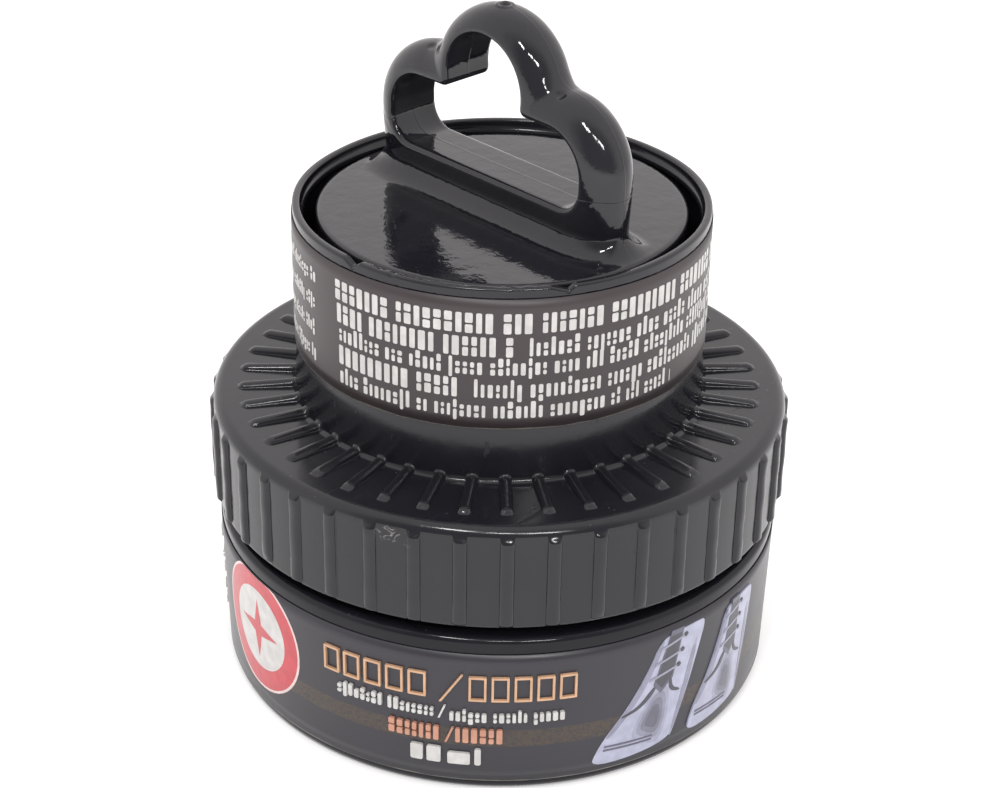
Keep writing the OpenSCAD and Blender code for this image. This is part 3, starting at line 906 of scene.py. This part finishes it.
def jar_label():
    low, high = JAR_LABEL_Z
    shell = label_shell(low, high, wall_r)
    gold = (5.8, 7.9, (0.062, 0.045, 0.03))
    paper = film("jar_label_paper", (0.02, 0.019, 0.025), low, rough=0.3, band=gold)
    mesh_piece("jar_label_film", *shell, paper, "jar", "jar_print", ["jar_label"])
    layers = badge(-29.55, 10.6, high - 0.1)
    near = lace_shoe(lambda u, z: (10.6 + u, 2.4 + z), 0.22)
    far = lace_shoe(lambda u, z: (22.4 + 0.9 * u, 2.6 + 0.95 * z), 0.1)
    layers += near + far
    copper = hollow_blocks(-18.3, -6.3, 11.75, 14.75, 5, 0.24) + hollow_blocks(-2.5, 8.9, 11.75, 14.75, 5, 0.24)
    copper.append(slanted(-5.5, 11.4, 14.9, 2.2, 0.24))
    white = greeked(-16.7, -6.0, 9.4, 1.45, 5, bold=True) + greeked(-4.4, 7.2, 9.1, 1.45, 6, bold=True)
    white.append(slanted(-5.6, 9.3, 10.9, 0.6, 0.2))
    pink = greeked(-10.8, -5.2, 6.4, 1.75, 8, bold=True, capitals=True)
    pink += greeked(-3.8, 1.5, 6.4, 1.75, 9, bold=True, capitals=True)
    pink.append(slanted(-4.9, 6.3, 8.2, 0.7, 0.22))
    volume = ((-8.45, -7.15, 5.5), (-6.75, -5.3, 5.5), (-4.6, -2.3, 5.0), (-1.85, -1.2, 5.6))
    white += [block(u0, u1, 3.55, z1) for u0, u1, z1 in volume]
    back = []
    for k in range(5):
        back += greeked(60, 88, 12.6 - 2.3 * k, 1.3, 20 + k, capitals=k == 0)
    back += greeked(-68, -45, 12.4, 1.5, 30, bold=True, capitals=True)
    for k in range(4):
        back += greeked(-68, -45, 9.8 - 2.1 * k, 1.2, 31 + k)
    layers += [("copper", copper), ("white", white + back), ("pink", pink)]
    printing("jar", layers, wall_r, "jar")


def bar_panel(u0, z0, wide, tall, seed):
    """A white panel with upright dark bars, and nothing to read in them."""
    rng = np.random.default_rng(seed)
    bars, u = [], u0 + 1.0
    while u < u0 + wide - 1.2:
        bar = rng.choice([0.2, 0.35, 0.5])
        bars.append(block(u, u + bar, z0 + 0.8, z0 + tall - 0.8, 0.02))
        u += bar + rng.choice([0.25, 0.4, 0.6])
    return [("white", [block(u0, u0 + wide, z0, z0 + tall, 0.3)]), ("dark", bars)]


def cup_label():
    low, high = CUP_LABEL_Z
    shell = label_shell(low, high, lambda z: CUP_R)
    paper = film("cup_label_paper", (0.033, 0.026, 0.028), low, rough=0.36)
    mesh_piece("cup_label_film", *shell, paper, "cap", "cup_print", ["cup_label"])
    rows = greeked(-18.2, 30.5, 48.75, 2.15, 41, bold=True, capitals=True)
    rows += greeked(-18.0, 1.9, 46.25, 2.1, 42, bold=True, capitals=True) + greeked(2.9, 31, 46.3, 2.0, 43)
    rows += greeked(-17.7, 30.5, 44.25, 1.85, 44)
    rows += greeked(-17.8, -3.3, 41.65, 2.1, 45, bold=True, capitals=True) + greeked(-2.4, 31, 41.75, 2.0, 46)
    rows += greeked(-17.7, 19.6, 39.5, 1.85, 47)
    for k in range(4):
        rows += greeked(-38, -21.9, 48.9 - 2.9 * k, 1.5, 50 + k)
    layers = bar_panel(42, 40.2, 16, 10.2, 4)
    layers.append(("white", rows))
    printing("cup", layers, lambda z: CUP_R, "cap")


# ---------------------------------------------------------------- soft and hidden pieces
def turned_piece(name, line, step, material, body, slot, node, around=240, shape=None):
    """A solid turned from a section that runs from the middle of its foot to the middle of its top."""
    points, faces = revolve(densify(line, step), around, shape)
    return mesh_piece(name, points, [face[::-1] for face in faces], material, body, slot, [node])


def shoe_cream():
    wide, narrow = JAR_INNER_R - 0.1, NECK_BORE_R - 0.08
    line = [(0, JAR_FLOOR_Z + 0.05), (JAR_INNER_R - 2.1, JAR_FLOOR_Z + 0.05), (wide, JAR_FLOOR_Z + 2.1)]
    line += [(wide, SHOULDER_Z - 1.4), (narrow, SHOULDER_Z - 0.4), (narrow, CREAM_Z - 0.1)]
    line += [(NECK_BORE_R - 0.5, CREAM_Z - 0.35), (0, CREAM_Z - 0.5)]

    def swirl(a, r, z):
        top = z > CREAM_Z - 0.7
        ripple = 0.18 * np.sin(2.2 * r - 2 * a + 0.8) * smooth01(r / 5) * smooth01((NECK_BORE_R - 1 - r) / 4)
        x, y = r * np.cos(a), r * np.sin(a)
        return a, r, z + np.where(top, ripple + 0.1 * waves(x, y, 12, 0.25), 0)

    n = Nodes("black_cream")
    smear = n.noise(260, 4, stretch=(1, 1, 3), distortion=1.5)
    base = n.mix(smear, (0.004, 0.004, 0.005), (0.012, 0.012, 0.014))
    rough = n.range(smear, 0.3, 0.7, 0.22, 0.42)
    material = n.set(base=base, rough=rough, normal=n.bump(smear, 0.00008), coat=0.3, coat_rough=0.25)
    turned_piece("cream_fill", line, 0.7, material, "jar", "cream", "shoe_cream", shape=swirl)


def cap_liner():
    low, high = LINER_Z
    r = LINER_R
    pressed = low + 0.08  # the ring that the neck's rim has pressed into the foam
    line = [(0, low), (NECK_BORE_R - 0.3, low), (NECK_BORE_R + 0.1, pressed), (NECK_R - 0.2, pressed)]
    line += [(NECK_R + 0.2, low), (r - 0.2, low)]
    line += arc(r - 0.2, low + 0.2, 0.2, -90, 0, 4) + arc(r - 0.2, high - 0.2, 0.2, 0, 90, 4) + [(0, high)]
    n = Nodes("liner_foam")
    cells = n.cells(1900, "SMOOTH_F1")
    base = n.mix(n.noise(120, 3), (0.78, 0.78, 0.76), (0.86, 0.86, 0.85))
    material = n.set(base=base, rough=0.62, normal=n.bump(cells, 0.00006), subsurface=0.15, sub_scale=0.002)
    turned_piece("liner_disc", line, 1.2, material, "cap_rise", "liner_foam", "cap_liner")


def sponge():
    low, high = SPONGE_Z
    r = SPONGE_R - 0.15
    line = [(0, low + 0.1), (r - 1.2, low + 0.1)] + arc(r - 1.2, low + 1.3, 1.2, -90, 0, 6)
    line += arc(r - 0.4, high - 0.4, 0.4, 0, 90, 4) + [(0, high)]

    def rough_cut(a, r_, z):
        x, y = r_ * np.cos(a), r_ * np.sin(a)
        uneven = waves(x + 3 * z, y - 2 * z, 5, 0.9) * 0.12 + waves(x - z, y + z, 6, 2.6) * 0.06
        below = smooth01((high - 0.6 - z) / 2)
        grow = 1 + below * uneven / np.maximum(r_, 4)
        return a, np.minimum(r_ * grow, SPONGE_R), z + np.where(z < low + 1.2, np.abs(uneven) * 1.2, 0)

    n = Nodes("applicator_foam")
    pores, small = n.cells(1000, "F1"), n.cells(2300, "F1")
    # the pits are sunk by the bump, and the foam is painted darker in them as painted shade in the pores
    pit_depth_and_shade = n.math("MULTIPLY", n.range(pores, 0.12, 0.34), n.range(small, 0.1, 0.3, 0.5, 1.0))
    clean = n.mix(pit_depth_and_shade, (0.28, 0.2, 0.09), (0.62, 0.53, 0.33))
    near_foot = n.range(n.axis(2), (low + 2.6) * MM, (low + 0.2) * MM)
    used = n.product(near_foot, n.range(n.noise(160, 4), 0.38, 0.6))
    base = n.mix(used, clean, (0.02, 0.019, 0.018))
    material = n.set(base=base, rough=0.85, normal=n.bump(pit_depth_and_shade, 0.0004), sheen=0.2)
    obj = turned_piece("sponge_pad", line, 0.5, material, "applicator", "sponge_foam", "sponge", 300, rough_cut)


def sponge_adhesive():
    low, high = ADHESIVE_Z
    r = radius("sponge_adhesive") - 0.3
    line = [(0, low + 0.02), (r - 0.12, low + 0.02)]
    line += arc(r - 0.15, (low + high) / 2, 0.17, -80, 80, 5) + [(0, high - 0.02)]

    def squeezed(a, r_, z):
        edge = smooth01((r_ - r + 4) / 4)
        return a, r_ + edge * (0.22 * np.sin(5 * a + 1) + 0.15 * np.sin(11 * a)) * 0.8, z

    n = Nodes("hot_melt")
    cloud = n.noise(300, 3)
    base = n.mix(cloud, (0.62, 0.5, 0.27), (0.72, 0.62, 0.4))
    rough = n.range(cloud, 0.3, 0.7, 0.25, 0.4)
    material = n.set(base=base, rough=rough, normal=n.bump(cloud, 0.0001), subsurface=0.3, sub_scale=0.001)
    turned_piece("adhesive_layer", line, 1.0, material, "applicator", "adhesive", "sponge_adhesive", shape=squeezed)


def base_sticker():
    low, high = heights("base_sticker")
    r = radius("base_sticker")
    line = [(0, low), (r - 0.05, low), (r, low + 0.03), (r, high - 0.01), (0, high - 0.01)]
    n = Nodes("sticker_paper")
    fibres = n.noise(900, 5, 0.7, stretch=(1, 0.4, 1))
    edge = n.range(n.noise(80, 2), 0.4, 0.8)
    base = n.mix(edge, n.mix(fibres, (0.74, 0.73, 0.7), (0.82, 0.81, 0.79)), (0.66, 0.64, 0.6))
    material = n.set(base=base, rough=0.6, normal=n.bump(fibres, 0.00002))
    turned_piece("sticker_disc", line, 1.5, material, "jar", "sticker_paper", "base_sticker")


# ---------------------------------------------------------------- stage
# the camera, fitted to the ellipses of the jar's foot and shoulder, the cap, the cup and its rim
CAMERA_TURNS = (46, 29.19, -1.143, 0.4)  # azimuth, pitch, yaw and roll
CAMERA_DISTANCE = 203.4  # from the jar's axis
CAMERA_HEIGHT = 143.6
CAMERA_LENS = 77.155  # on a sensor 36 mm wide
CAMERA_SHIFT = 0.0386

ROOM_TONE = (1.0, 0.965, 0.96, 1.0)
ROOM_BRIGHT, ROOM_DIM = 1.25, 0.4
DARK_SIDE_UP = math.radians(12)  # elevation of the darkest part of the room
DARK_SIDE_REACH = (0.35, 0.85)  # cosines of the angles from it at which the room is bright, and dim
FLOOR_HALF = 6.0  # metres


def camera():
    azimuth, pitch, yaw, roll = (math.radians(a) for a in CAMERA_TURNS)
    right = Vector((math.cos(azimuth), math.sin(azimuth), 0))
    away = Vector((-math.sin(azimuth), math.cos(azimuth), 0))
    forward = math.cos(pitch) * (math.sin(yaw) * right + math.cos(yaw) * away)
    forward = forward - math.sin(pitch) * Vector((0, 0, 1))
    data = bpy.data.cameras.new("camera")
    data.sensor_width, data.lens = 36.0, CAMERA_LENS
    data.shift_x = CAMERA_SHIFT
    data.clip_start, data.clip_end = 0.01, 20
    cam = bpy.data.objects.new("camera", data)
    place = (-CAMERA_DISTANCE * away + Vector((0, 0, CAMERA_HEIGHT))) * MM
    side = forward.cross(Vector((0, 0, 1))).normalized()
    turn = Matrix((side, side.cross(forward), -forward)).transposed() @ Matrix.Rotation(roll, 3, "Z")
    cam.matrix_world = Matrix.Translation(place) @ turn.to_4x4()
    scene.collection.objects.link(cam)
    scene.camera = cam


def tube(name, start, end, width, power, target=(0, 0, 50)):
    """A long soft light between two points, facing the jar."""
    start, end, target = Vector(start), Vector(end), Vector(target)
    middle, along = (start + end) / 2, (end - start).normalized()
    back = middle - target
    back = (back - back.dot(along) * along).normalized()
    data = bpy.data.lights.new(name, "AREA")
    data.shape = "RECTANGLE"
    data.size, data.size_y = (end - start).length * MM, width * MM
    data.energy = power
    light = bpy.data.objects.new(name, data)
    turn = Matrix((along, back.cross(along), back)).transposed()
    light.matrix_world = Matrix.Translation(middle * MM) @ turn.to_4x4()
    scene.collection.objects.link(light)


def towards(turn, out, up):
    """A point at an angle from the camera's side, right of it when positive."""
    a = math.radians(FRONT + turn)
    return out * math.cos(a), out * math.sin(a), up


def sky(turn, elevation, far=1000):
    """A point far from the jar, at an angle from the camera's side and a height in degrees."""
    a = math.radians(elevation)
    return towards(turn, far * math.cos(a), far * math.sin(a))


def stage():
    world = bpy.data.worlds.new("studio")
    scene.world = world
    world.use_nodes = True
    tree = world.node_tree
    tree.nodes["Background"].inputs["Color"].default_value = ROOM_TONE
    # the room is darker on the side that the jar is looked at from
    dot = tree.nodes.new("ShaderNodeVectorMath")
    dot.operation = "DOT_PRODUCT"
    tree.links.new(tree.nodes.new("ShaderNodeTexCoord").outputs["Generated"], dot.inputs[0])
    dot.inputs[1].default_value = Vector(towards(0, math.cos(DARK_SIDE_UP), math.sin(DARK_SIDE_UP)))
    dim = tree.nodes.new("ShaderNodeMapRange")
    dim.interpolation_type = "SMOOTHSTEP"
    dim.inputs["From Min"].default_value, dim.inputs["From Max"].default_value = DARK_SIDE_REACH
    dim.inputs["To Min"].default_value, dim.inputs["To Max"].default_value = ROOM_BRIGHT, ROOM_DIM
    tree.links.new(dot.outputs["Value"], dim.inputs["Value"])
    tree.links.new(dim.outputs["Result"], tree.nodes["Background"].inputs["Strength"])
    scene.view_settings.view_transform = "Standard"
    mesh = bpy.data.meshes.new("floor")
    s = FLOOR_HALF
    mesh.from_pydata([(-s, -s, 0), (s, -s, 0), (s, s, 0), (-s, s, 0)], [], [(0, 1, 2, 3)])
    n = Nodes("floor")
    grain = n.noise(40, 3)
    base = n.mix(grain, (0.91, 0.91, 0.91), (0.93, 0.93, 0.93))
    mesh.materials.append(n.set(base=base, rough=0.8, glow=(1.0, 1.0, 1.0), glow_strength=0.2))
    floor = bpy.data.objects.new("floor", mesh)
    scene.collection.objects.link(floor)
    tube("near_tube", sky(-29, 59), sky(-13, 52), 62, 2.2)
    tube("middle_tube", sky(-3, 48), sky(7, 44), 40, 1.0)
    tube("far_tube", sky(11, 42), sky(25, 35), 55, 2.0)


camera()
stage()
screw_cap()
jar_body()
applicator_handle()
jar_label()
cup_label()
shoe_cream()
cap_liner()
sponge()
sponge_adhesive()
base_sticker()
